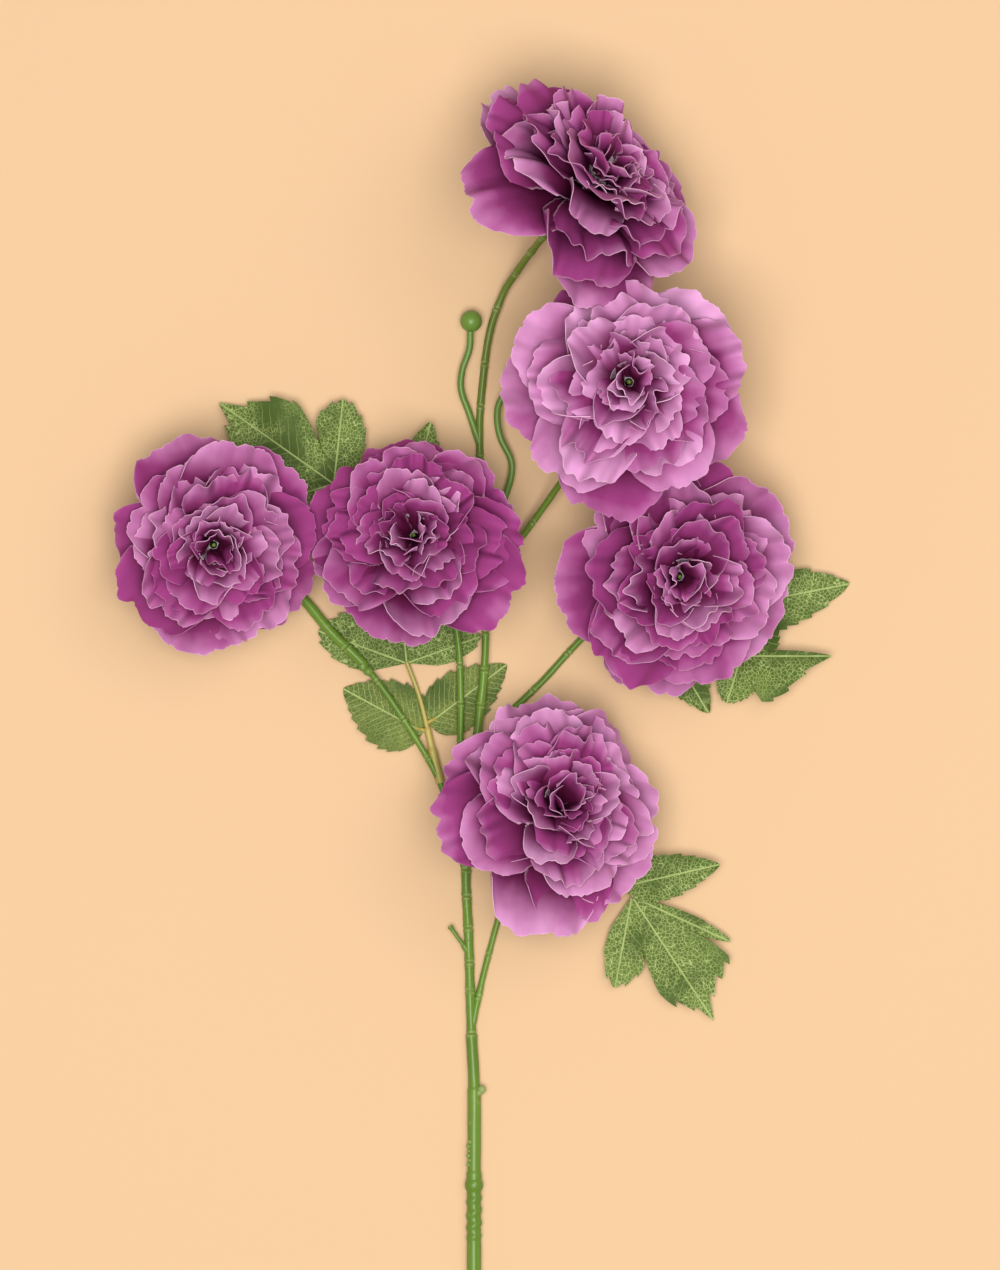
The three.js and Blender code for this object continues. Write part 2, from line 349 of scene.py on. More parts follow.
@dataclass(frozen=True)
class LeafCloth:
    """Coated green cloth, printed with a midrib, side veins and a pale net between them."""

    dark: Colour = (0.060, 0.105, 0.013)
    mid: Colour = (0.130, 0.200, 0.036)
    vein: Colour = (0.44, 0.55, 0.19)
    vein_gap: float = 0.40
    vein_lean: float = 0.8
    name: str = "leaf_cloth"
    ribbed: float = 0.35
    netted: float = 0.85
    cells: float = 720.0
    print_depth: float = 0.00025

    def material(self) -> bpy.types.Material:
        """The material of the leaves made of this cloth.

        Returns:
            The new material.
        """
        shader = Shader(self.name)
        place = shader.object_place()
        across, down, _ = shader.split(shader.cloth_place())
        across = across.abs()
        cloud = shader.noise(place, 60, 3)
        wobble = (shader.noise(place, 210, 3) - 0.5) * 0.22
        midrib = (across + wobble * 0.12).step(0.042, 0.016)
        rung = ((down - across * self.vein_lean + wobble) / self.vein_gap).fract() - 0.5
        side = rung.abs().step(0.43, 0.49) * across.step(1.15, 0.5)
        cells = shader.node(
            "ShaderNodeTexVoronoi",
            {"feature": "DISTANCE_TO_EDGE"},
            {"Vector": place, "Scale": self.cells, "Randomness": 0.95},
        )
        net = Num(shader, cells.outputs["Distance"]).step(0.085, 0.02)
        net = net * cloud.step(0.30, 0.50) * across.step(2.2, 0.5)
        lines = (midrib * 0.8).most(side * self.ribbed).most(net * self.netted)
        green = shader.mix(cloud.step(0.3, 0.7), self.dark, self.mid)
        relief = lines * 0.7 + shader.noise(place, 1400, 1) * 0.3
        shader.set(
            Base_Color=shader.mix(lines, green, self.vein),
            Roughness=0.62,
            Specular_IOR_Level=0.2,
            Normal=shader.bump(relief, self.print_depth, 0.6),
        )
        return shader.material


@dataclass(frozen=True)
class MouldedPlastic:
    """Soft moulded plastic with cloudy colour, dark specks and pale scuffs."""

    name: str
    light: Colour
    dark: Colour
    scuff: Colour = (0.40, 0.46, 0.19)
    speck: Colour = (0.03, 0.02, 0.01)
    roughness: float = 0.38
    scuffs: float = 0.7
    far: Colour | None = None
    far_from: float = 0.10
    far_to: float = 0.20

    def material(self) -> bpy.types.Material:
        """The material of the pieces moulded in this plastic.

        Returns:
            The new material.
        """
        shader = Shader(self.name)
        place = shader.object_place()
        cloud = shader.noise(place, 22, 2)
        colour = shader.mix(cloud.step(0.3, 0.7), self.dark, self.light)
        if self.far:
            _, along, _ = shader.split(place)
            colour = shader.mix(along.step(self.far_from, self.far_to) * 0.85, colour, self.far)
        worn = shader.noise(place, 330, 3).step(0.64, 0.76) * self.scuffs * cloud
        worn = worn.most(shader.attribute("pale"))
        colour = shader.mix(worn * 0.75, colour, self.scuff)
        speck = shader.noise(place, 460, 1).step(0.79, 0.82) * self.scuffs
        colour = shader.mix(speck, colour, self.speck)
        shader.set(
            Base_Color=colour,
            Roughness=self.roughness + worn * 0.2,
            Specular_IOR_Level=0.45,
            Subsurface_Weight=0.12,
            Subsurface_Scale=0.0015,
            Normal=shader.bump(shader.noise(place, 420, 2), 0.00018, 0.5),
        )
        return shader.material


@dataclass(frozen=True)
class TablePaint:
    """The matt pale table."""

    colour: Colour = (0.745, 0.515, 0.303)

    def material(self) -> bpy.types.Material:
        """The material of the table.

        Returns:
            The new material.
        """
        shader = Shader("table_paint")
        cloud = shader.noise(shader.object_place(), 1.5, 1)
        darker = tuple(0.97 * part for part in self.colour)
        shader.set(
            Base_Color=shader.mix(cloud, self.colour, darker),
            Roughness=0.95,
            Specular_IOR_Level=0.1,
        )
        return shader.material


class Finish(Enum):
    """What a piece is made of."""

    PETAL = PetalCloth()
    LEAF = LeafCloth()
    RIBBED_LEAF = LeafCloth(
        vein_gap=0.24, name="ribbed_leaf_cloth", ribbed=0.9, netted=0.35, mid=(0.155, 0.20, 0.035)
    )
    STEM = MouldedPlastic(
        "stem_plastic", (0.155, 0.285, 0.030), (0.105, 0.205, 0.020), far=(0.135, 0.19, 0.024)
    )
    STALK = MouldedPlastic("stalk_plastic", (0.60, 0.46, 0.12), (0.34, 0.33, 0.07), scuffs=0.3)
    BUD = MouldedPlastic("bud_plastic", (0.15, 0.28, 0.042), (0.11, 0.215, 0.03), scuffs=0.1)
    SPACER = MouldedPlastic(
        "spacer_plastic", (0.56, 0.46, 0.52), (0.40, 0.30, 0.37), (0.7, 0.65, 0.68), scuffs=0.1
    )


MATERIALS: dict[Finish, bpy.types.Material] = {}


def dress(finish: Finish) -> bpy.types.Material:
    """The one material of a finish, made when it is first used.

    Args:
        finish: The finish.

    Returns:
        Its material.
    """
    if finish not in MATERIALS:
        MATERIALS[finish] = finish.value.material()
    return MATERIALS[finish]


# ---- Mesh work ---------------------------------------------------------------------------------


@dataclass(frozen=True)
class Piece:
    """A finished piece: its name, its finish, and the frame's nodes and slot it stands for."""

    name: str
    finish: Finish
    nodes: tuple[str, ...]
    slot: str

    def make(self, bm: bmesh.types.BMesh, place: Matrix, sharp: float = 70) -> bpy.types.Object:
        """Turns a worked mesh into the finished object.

        Args:
            bm: The mesh in millimetres, freed here.
            place: Takes its millimetres to the frame's metres.
            sharp: The angle in degrees past which an edge is drawn sharp.

        Returns:
            The object, at the origin.
        """
        bmesh.ops.transform(bm, matrix=place, verts=bm.verts)
        mesh = bpy.data.meshes.new(self.name)
        for face in bm.faces:
            face.smooth = True
        bm.to_mesh(mesh)
        bm.free()
        mesh.set_sharp_from_angle(angle=math.radians(sharp))
        mesh.materials.append(dress(self.finish))
        made = bpy.data.objects.new(self.name, mesh)
        bpy.context.scene.collection.objects.link(made)
        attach(made, BODY)
        if self.nodes:
            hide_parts(*self.nodes)
        LOG.info("%s: %d faces", self.name, len(mesh.polygons))
        return made


def grid(bm: bmesh.types.BMesh, columns: int, rows: int) -> list[bmesh.types.BMVert]:
    """A flat grid of vertices, its x from -1 to 1 and its y from 0 to 1.

    Args:
        bm: The mesh it is added to.
        columns: Faces across.
        rows: Faces along.

    Returns:
        Its vertices.
    """
    verts = bmesh.ops.create_grid(bm, x_segments=columns, y_segments=rows, size=1)["verts"]
    for vert in verts:
        vert.co.y = (vert.co.y + 1) / 2
    return verts


def smooth_line(route: Route, step: float) -> list[Vector]:
    """A smooth line through points, as even short stretches.

    Args:
        route: The points.
        step: The length of one stretch, about.

    Returns:
        The line's points.
    """
    points = [Vector(point) for point in route]
    padded = [2 * points[0] - points[1], *points, 2 * points[-1] - points[-2]]
    fine: list[Vector] = [points[0]]
    for before, start, end, after in zip(padded, padded[1:], padded[2:], padded[3:]):
        reach = (end - start).length / 3
        out = (end - before).normalized() * reach
        back = (after - start).normalized() * reach
        fine += geometry.interpolate_bezier(start, start + out, end - back, end, 32)[1:]
    lengths = [0.0]
    for first, second in zip(fine, fine[1:]):
        lengths.append(lengths[-1] + (second - first).length)
    count = max(3, round(lengths[-1] / step))
    line: list[Vector] = []
    at = 0
    for i in range(count + 1):
        wanted = lengths[-1] * i / count
        while at < len(fine) - 2 and lengths[at + 1] < wanted:
            at += 1
        share = (wanted - lengths[at]) / (lengths[at + 1] - lengths[at])
        line.append(fine[at].lerp(fine[at + 1], min(1.0, share)))
    return line


def sweep(
    bm: bmesh.types.BMesh,
    line: Sequence[Vector],
    radius: Callable[[float, float], float],
    sides: int = 24,
    paleness: Callable[[float, float], float] | None = None,
) -> None:
    """A closed rod along a line, with its ends closed flat.

    Args:
        bm: The mesh it is added to.
        line: The rod's middle line.
        radius: Its radius at a distance along it and an angle round it.
        sides: Faces round it.
        paleness: How pale its plastic is at a distance and an angle, from 0 to 1.
    """
    pale = bm.verts.layers.float.get("pale") or bm.verts.layers.float.new("pale")
    tangents = [
        (line[min(i + 1, len(line) - 1)] - line[max(i - 1, 0)]).normalized()
        for i in range(len(line))
    ]
    side = tangents[0].cross(UP).normalized()
    sides_at: list[Vector] = []
    distances = [0.0]
    for i, tangent in enumerate(tangents):
        side = (side - tangent * side.dot(tangent)).normalized()
        sides_at.append(side)
        if i:
            distances.append(distances[-1] + (line[i] - line[i - 1]).length)
    stations = [0, *range(len(line)), len(line) - 1]
    verts = grid(bm, sides, len(stations) - 1)
    for vert in verts:
        row = round(vert.co.y * (len(stations) - 1))
        at = stations[row]
        angle = math.pi * (vert.co.x + 1)
        size = 0.0 if row in (0, len(stations) - 1) else radius(distances[at], angle)
        lift = sides_at[at].cross(tangents[at])
        vert.co = line[at] + size * (math.cos(angle) * sides_at[at] + math.sin(angle) * lift)
        vert[pale] = paleness(distances[at], angle) if paleness else 0.0
    bmesh.ops.remove_doubles(bm, verts=verts, dist=1e-4)


def thicken(bm: bmesh.types.BMesh, thickness: float) -> None:
    """Gives a thin sheet its thickness, straight down from its face.

    Args:
        bm: The sheet.
        thickness: Its thickness.
    """
    bm.normal_update()
    below = bm.verts.layers.float_vector.new("below")
    for vert in bm.verts:
        vert[below] = -thickness * vert.normal
    made = bmesh.ops.solidify(bm, geom=bm.faces[:], thickness=0.0)["geom"]
    for vert in made:
        if isinstance(vert, bmesh.types.BMVert):
            vert.co += vert[below]
    bm.verts.layers.float_vector.remove(below)


def hump(x: float, middle: float, width: float) -> float:
    """A smooth hump of height 1."""
    return math.exp(-(((x - middle) / width) ** 2))


def ramp(x: float, start: float, end: float) -> float:
    """A smooth ramp from 0 at start to 1 at end."""
    share = min(1.0, max(0.0, (x - start) / (end - start)))
    return share * share * (3 - 2 * share)


def cloud(x: float, y: float, seed: float) -> float:
    """A smooth random height about 0."""
    return noise.noise(Vector((x, y, seed)))


# ---- Petals ------------------------------------------------------------------------------------


@dataclass(frozen=True)
class PetalSheet:
    """A sheet of petals cut from one disc of cloth and pressed hot. Millimetres and degrees."""

    petals: int
    reach: float
    width: float
    base: float
    rise: float
    fall: float
    start: float = 0.0
    cup: float = 1.5
    ruffle: float = 1.3
    waves: float = 1.4
    notch: float = 1.5
    scallop: float = 1.1
    roll: float = 0.08
    twist: float = 0.12
    curl: float = 32.0
    columns: int = 36
    rows: int = 18


@dataclass
class Petal:
    """One petal of a sheet, with the small differences that no two share."""

    sheet: PetalSheet
    chance: random.Random
    stretch: float = 1.0
    pin: float = 2.0
    foot: float = 1.7
    shoulder: float = 0.6
    crease: float = 0.12
    fray: float = 0.9
    fine_fray: float = 0.5
    side_fray: float = 0.6
    line: list[tuple[float, float, float]] = field(default_factory=list)

    def __post_init__(self) -> None:
        """Draws this petal's own differences and its middle line."""
        sheet, chance = self.sheet, self.chance
        self.seed = chance.uniform(0, 100)
        self.tone = chance.random()
        self.half = sheet.width / 2 * chance.uniform(0.9, 1.1)
        self.reach = sheet.reach * chance.uniform(0.95, 1.04) * self.stretch
        self.rise = sheet.rise + chance.uniform(-6, 6)
        self.fall = sheet.fall + chance.uniform(-9, 9)
        self.curl = sheet.curl * chance.choice((-1.2, -0.5, 0.2, 0.6, 1)) * chance.uniform(0.5, 1.2)
        self.cup = sheet.cup * chance.choice((-1, 0.4, 1, 1.4)) * chance.uniform(0.6, 1.4)
        self.ruffle = sheet.ruffle * chance.uniform(0.6, 1.4)
        self.waves = sheet.waves * chance.uniform(0.75, 1.3)
        self.phases = [chance.uniform(0, 2 * math.pi) for _ in range(5)]
        self.notch = sheet.notch * chance.choice((0, 0.3, 1, 1.6))
        self.lean = chance.uniform(-0.35, 0.35)
        self.roll = sheet.roll * chance.uniform(0.5, 1.5)
        self.twist = sheet.twist * chance.uniform(-1, 1)
        self.set_line()

    def set_line(self, steps: int = 40) -> None:
        """Works out the petal's length and the middle line it is bent to.

        Args:
            steps: How many straight stretches make the line.
        """
        slopes = []
        for i in range(steps):
            share = (i + 0.5) / steps
            tip = max(0.0, (share - 0.6) / 0.4) ** 1.6
            slope = self.rise + (self.fall - self.rise) * share**0.9 + self.curl * tip
            slopes.append(math.radians(slope))
        self.length = (self.reach - self.pin) / (sum(map(math.cos, slopes)) / steps)
        out, height = self.pin, self.sheet.base
        self.line = []
        for slope in slopes:
            self.line.append((out, height, slope))
            out += math.cos(slope) * self.length / steps
            height += math.sin(slope) * self.length / steps
        self.line.append((out, height, slopes[-1]))

    def crown(self, u: float) -> float:
        """How far along the petal its outline reaches, at a share across it.

        Args:
            u: The share across the petal, from -1 to 1.

        Returns:
            The reach, as a share of the petal's length.
        """
        side = self.shoulder + (1 - self.shoulder) * math.sqrt(1 - min(1.0, abs(u)) ** 2.4)
        frill = 0.8 * math.cos(self.half * 0.3 * u + self.phases[3])
        frill += 1.3 * abs(math.cos(self.half * 0.4 * u + self.phases[2])) ** 0.7 - 0.9
        frill -= self.notch / self.sheet.scallop * hump(u, self.lean, self.crease)
        return max(0.5, side + self.sheet.scallop / self.length * frill * (1 - u**6))

    def place(self, u: float, t: float) -> tuple[Vector, float, tuple[float, float]]:
        """Where a point of the flat petal ends up.

        Args:
            u: Its share across the petal, from -1 to 1.
            t: Its share along the petal, from 0 to 1.

        Returns:
            Its place about the head's axis, its distance from the cut edge, and its place on
            the cloth in centimetres.
        """
        crown = self.crown(u)
        root = self.foot / self.half
        spread = root + (1 - root) * math.sin(min(1.0, t / 0.8) * math.pi / 2) ** 1.1
        x = u * self.half * spread
        s = t - (1 - crown) * t**2.1
        rim = max(0.0, min((1 - t) * self.length * 0.75, (1 - abs(u)) * self.half * spread))
        if rim < 1e-6:
            s += self.fray / self.length * cloud(u * self.half * 0.6, t * 17, self.seed)
            s += self.fine_fray / self.length * cloud(u * self.half * 1.5, t * 17, self.seed)
            x += self.side_fray * cloud(t * 31, u * 3, self.seed + 9)
        step = min(1.0, max(0.0, s)) * (len(self.line) - 1)
        at = min(int(step), len(self.line) - 2)
        share = step - at
        out, height, slope = (
            a + (b - a) * share for a, b in zip(self.line[at], self.line[at + 1])
        )
        first, second, third, _, fifth = self.phases
        rise = self.cup * u * u * spread * t + (self.roll + self.twist * t) * x
        rise += self.ruffle * t**2.2 * math.sin(math.pi * self.waves * u + first)
        rise += 0.42 * self.ruffle * t**4 * math.sin(math.pi * self.waves * 2.6 * u + second)
        rise += 0.7 * self.ruffle * abs(u) ** 3 * t * math.sin(6 * t + third)
        rise += 0.17 * self.half * cloud(u * 1.3, s * 2, self.seed) * math.sin(math.pi * t * 0.9)
        rise += 0.45 * cloud(u * self.half * 0.3, s * 5, self.seed + 5) * t
        rise -= 0.5 * hump(u, self.lean, self.crease) * t * t
        out -= math.sin(slope) * rise
        height += math.cos(slope) * rise
        x += math.sin(fifth) * 0.08 * self.half * t * t
        return Vector((out, x, height)), rim, (x / 10, s * self.length / 10)


@dataclass(frozen=True)
class HeadLook:
    """What sets one head apart: its chance, its sheets' turn, a gap, and where its rim reaches."""

    seed: int
    turn: float = 0.0
    gap_at: float = 0.0
    gap: float = 8.0
    spread: float = 1.0
    rim: tuple[tuple[float, float], ...] = ()
    spacer_at: float = 120.0
    dye: float = 0.5
    rim_width: float = 45.0
    spacer_gap: float = 38.0
    gap_fade: float = 130.0

    def stretch(self, angle: float) -> float:
        """How much longer petals are in a direction, in degrees, than the sheet's own reach.

        Args:
            angle: The direction.

        Returns:
            The petals' length there, as a share of the sheet's reach.
        """
        longer = self.spread
        for toward, share in self.rim:
            away = (angle - toward + 180) % 360 - 180
            longer += share * hump(away, 0, self.rim_width)
        return longer

    def open_gap(self, angle: float, heart: bool) -> float:
        """Turns a petal away from the head's gap, or in its heart from where the spacer shows.

        Args:
            angle: The petal's even place round the head, in degrees.
            heart: Whether it is one of the heart's petals.

        Returns:
            The place it is pushed to, in degrees.
        """
        gap_at, gap = (self.spacer_at, self.spacer_gap) if heart else (self.gap_at, self.gap)
        away = (angle - gap_at + 180) % 360 - 180
        return angle + math.copysign(gap * max(0.0, 1 - abs(away) / self.gap_fade), away)


# The calyx cup, and the pin that stands in it: radius and height, from below upwards.
CUP_PROFILE = (
    (0.0, -18.0), (1.5, -18.0), (1.9, -17.4), (1.7, -16.6), (2.6, -15.0), (4.2, -12.0), (5.4, -8.5),
    (6.1, -5.0), (6.9, -2.4), (7.6, -0.9), (7.2, -0.7), (4.0, -0.8), (0.7, -0.5), (0.6, 12.4),
    (0.8, 12.8), (0.65, 13.2), (0.0, 13.3),
)


@dataclass
class FlowerHead:
    """A flower head: a calyx and four groups of petal sheets on one pin."""

    name: str
    look: HeadLook
    layers: dict[str, tuple[PetalSheet, ...]]
    thickness: float = 0.26
    calyx_length: float = 17.7
    gap_to_petals: float = 0.3
    sway: float = 6.0
    neck: tuple[float, float] = (-24.0, -17.4)
    spacer_foot: float = 1.6
    spacer_flare: float = 5.6
    spacer_base: float = 10.5
    spacer_height: float = 8.5
    spacer_wall: float = 0.22

    def __post_init__(self) -> None:
        """Finds the head's place, axis and size from its nodes in the frame."""
        calyx, heart = (
            [v.co.copy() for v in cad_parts[f"{self.name}_{part}"].data.vertices]
            for part in ("calyx", "heart_petals")
        )
        middle = sum(calyx, Vector()) / len(calyx)
        self.axis = (sum(heart, Vector()) / len(heart) - middle).normalized()
        along = [(point - middle).dot(self.axis) for point in calyx]
        self.scale = (max(along) - min(along)) / self.calyx_length
        base = middle + self.axis * (max(along) + self.gap_to_petals * self.scale)
        turn = UP.rotation_difference(self.axis)
        self.place = Matrix.LocRotScale(base, turn, Vector.Fill(3, self.scale))
        self.chance = random.Random(self.look.seed)

    def petals(self, layer: str) -> None:
        """Builds one group of petal sheets as a piece.

        Args:
            layer: The group's name.
        """
        bm = bmesh.new()
        for layer_name in ("rim", "tone", "along", "strong"):
            bm.verts.layers.float.new(layer_name)
        rim_layer, tone_layer, along_layer, dye_layer = bm.verts.layers.float.values()
        cloth_layer = bm.loops.layers.uv.new("cloth")
        for sheet in self.layers[layer]:
            turn = self.look.turn + sheet.start + self.chance.uniform(-self.sway, self.sway)
            for i in range(sheet.petals):
                angle = turn + 360 * i / sheet.petals + self.chance.uniform(-self.sway, self.sway)
                angle = self.look.open_gap(angle, layer == "heart_petals")
                petal = Petal(sheet, self.chance, self.look.stretch(angle))
                spin = Matrix.Rotation(math.radians(angle), 3, "Z")
                flat: dict[bmesh.types.BMVert, tuple[float, float]] = {}
                verts = grid(bm, sheet.columns, sheet.rows)
                for vert in verts:
                    u, t = vert.co.x, vert.co.y
                    point, rim, flat[vert] = petal.place(u, t)
                    vert.co = spin @ point
                    vert[rim_layer] = rim
                    vert[tone_layer] = petal.tone
                    vert[along_layer] = t
                    vert[dye_layer] = self.look.dye
                for face in {face for vert in verts for face in vert.link_faces}:
                    for loop in face.loops:
                        loop[cloth_layer].uv = flat[loop.vert]
        thicken(bm, self.thickness)
        node = f"{self.name}_{layer}"
        Piece(f"{node}_cloth", Finish.PETAL, (node,), "petal_fabric").make(bm, self.place)

    def calyx(self, sepals: int = 6) -> None:
        """Builds the green cup with its pointed sepals and the pin that holds the sheets.

        Args:
            sepals: How many points the cup has.
        """
        bm = bmesh.new()
        last = len(CUP_PROFILE) - 1
        verts = grid(bm, sepals * 10, last)
        for vert in verts:
            angle = math.pi * (vert.co.x + 1)
            out, height = CUP_PROFILE[round(vert.co.y * last)]
            if 4.5 < out:
                point = abs((angle * sepals / (2 * math.pi)) % 1 - 0.5) * 2
                flare = ramp(height, -6, -1) * (point - 0.35)
                out += flare * 2.2
                height -= flare * 1.2
            out += 0.25 * math.cos(angle * sepals) * ramp(out, 1.8, 5)
            vert.co = Vector((out * math.cos(angle), out * math.sin(angle), height))
        bmesh.ops.remove_doubles(bm, verts=verts, dist=1e-3)
        bmesh.ops.recalc_face_normals(bm, faces=bm.faces)
        node = f"{self.name}_calyx"
        Piece(f"{node}_cup", Finish.STEM, (node,), "stem_plastic").make(bm, self.place)

    def spacer(self, ribs: int = 18) -> None:
        """Builds the ribbed plastic cone round the heart petals.

        Args:
            ribs: How many ribs it has.
        """
        bm = bmesh.new()
        verts = grid(bm, ribs * 6, 6)
        for vert in verts:
            angle = math.pi * (vert.co.x + 1)
            share = vert.co.y
            out = self.spacer_foot + self.spacer_flare * share**0.8
            wave = 0.5 * share * math.sin(angle * ribs)
            height = self.spacer_base + self.spacer_height * share**1.3 + wave
            vert.co = Vector((out * math.cos(angle), out * math.sin(angle), height))
        bmesh.ops.remove_doubles(bm, verts=verts, dist=1e-4)
        thicken(bm, self.spacer_wall)
        piece = Piece(f"{self.name}_heart_spacer", Finish.SPACER, (), "stem_plastic")
        piece.make(bm, self.place)

    def build(self, place: Matrix) -> tuple[Vector, Vector]:
        """Builds every piece of the head.

        Args:
            place: Takes the spray's millimetres to the frame's metres.

        Returns:
            The two points, in the spray's millimetres, that its branch ends on.
        """
        for layer in self.layers:
            self.petals(layer)
        self.calyx()
        self.spacer()
        back = place.inverted() @ self.place
        start, end = (back @ Vector((0, 0, height)) for height in self.neck)
        return start, end


# Each sheet: petals, reach, width, base, rise, fall, start, cup, ruffle and waves.
LAYERS = {
    "outer_petals": (
        PetalSheet(5, 46, 40, 0.0, 26, -20, 0, 2.2, 2.0, 1.4, columns=44, rows=20),
        PetalSheet(5, 43, 36, 1.6, 36, -10, 36, 2.2, 2.2, 1.5, columns=42, rows=20),
    ),
    "middle_petals": (
        PetalSheet(6, 37, 30, 3.2, 46, 0, 10, 2.4, 2.4, 1.5),
        PetalSheet(7, 32, 25, 4.6, 52, 8, 30, 2.4, 2.4, 1.4, columns=32),
    ),
    "inner_petals": (
        PetalSheet(7, 27, 22, 6.2, 58, 16, 0, 2.4, 2.2, 1.3, columns=28, rows=16, roll=0.16),
        PetalSheet(6, 22, 20, 7.8, 62, 24, 32, 2.4, 2.1, 1.2, columns=28, rows=16, roll=-0.16),
        PetalSheet(6, 17, 17, 9.6, 66, 32, 12, 2.4, 1.9, 1.2, columns=24, rows=15, roll=0.2),
    ),
    "heart_petals": (
        PetalSheet(5, 12, 14, 11.4, 72, 40, 0, 2.4, 1.7, 1.2, columns=22, rows=14, roll=0.25),
        PetalSheet(4, 7.5, 11, 13.0, 84, 58, 40, 2.6, 1.5, 1.2, columns=20, rows=14, roll=-0.3),
    ),
}

# Each head's rim: directions round it in degrees, and how much longer or shorter its petals are.
HEAD_LOOKS = {
    "left": HeadLook(
        seed=11, turn=42, gap_at=0, gap=0, spread=0.96, spacer_at=200, dye=0.85,
        rim=((85, 0.08), (35, -0.05), (-30, -0.03), (140, -0.12), (185, -0.05)),
    ),
    "centre": HeadLook(
        seed=23, turn=100, gap_at=240, gap=10, spread=0.99, spacer_at=80, dye=0.9,
        rim=((102, 0.03), (48, -0.13), (135, -0.1), (215, 0.05), (245, -0.1)),
    ),
    "right": HeadLook(
        seed=37, turn=38, gap_at=160, gap=4, spread=0.97, spacer_at=100, dye=0.85,
        rim=((190, -0.02), (140, -0.08), (235, 0.08), (60, 0.05), (300, -0.1)),
    ),
    "upper": HeadLook(
        seed=41, turn=42, gap_at=169, gap=4, spread=0.98, spacer_at=135, dye=0.1,
        rim=((90, -0.14), (160, 0.03), (228, 0.09), (40, -0.06), (0, 0.04)),
    ),
    "low": HeadLook(
        seed=53, turn=28, gap_at=228, gap=12, spread=0.96, spacer_at=160, dye=0.45,
        rim=((205, 0.14), (250, 0.1), (275, -0.06), (40, -0.11), (150, -0.08)),
    ),
    "top": HeadLook(
        seed=67, turn=-12, gap_at=222, gap=8, spread=1.0, spacer_at=60, dye=0.8,
        rim=((30, -0.26), (185, 0.08), (160, 0.04), (110, 0.07), (245, 0.16)),
    ),
}


# ---- Stems -------------------------------------------------------------------------------------


@dataclass(frozen=True)
class Rod:
    """A moulded stem: its route, its radius from given distances on, and its ring joints."""

    route: Route
    radii: tuple[tuple[float, float], ...]
    joints: tuple[float, ...] = ()
    grooves: tuple[tuple[float, float], ...] = ()
    sides: int = 24
    step: float = 0.4
    flash: float = 0.07
    lip: float = 0.16
    cut: float = 0.34
    waist: float = 0.07

    def radius(self, distance: float, angle: float) -> float:
        """The rod's radius.

        Args:
            distance: How far along the rod.
            angle: How far round it.

        Returns:
            The radius, in millimetres.
        """
        size = self.radii[0][1]
        for (_, before), (start, after) in zip(self.radii, self.radii[1:]):
            size += (after - before) * ramp(distance, start - 0.5, start + 0.5)
        for joint in self.joints:
            away = abs(distance - joint)
            if away < 8:
                size += self.lip * hump(away, 0.75, 0.5) - self.cut * hump(away, 0, 0.32)
                size -= self.waist * hump(away, 5, 3)
        for groove, depth in self.grooves:
            size -= depth * hump(angle, groove, 0.3)
        flash = hump(angle, math.pi, 0.1) + hump(angle, 0, 0.1) + hump(angle, 2 * math.pi, 0.1)
        turn = Vector((math.cos(angle), math.sin(angle), distance * 0.11))
        return size + self.flash * flash + 0.07 * noise.noise(turn)

    def paleness(self, distance: float, angle: float) -> float:
        """How pale the plastic is at the lips of its joints, varying round the rod."""
        lips = sum(hump(abs(distance - joint), 0.7, 0.4) for joint in self.joints)
        return min(1.0, 0.75 * lips) * (0.6 + 0.4 * math.sin(angle * 2 + distance))

    def add_to(self, bm: bmesh.types.BMesh) -> None:
        """Adds the rod to a mesh."""
        line = smooth_line(self.route, self.step)
        sweep(bm, line, self.radius, self.sides, self.paleness)


def every(pitch: float, start: float, end: float) -> tuple[float, ...]:
    """Even distances from start up to end."""
    return tuple(start + pitch * i for i in range(int((end - start) / pitch) + 1))


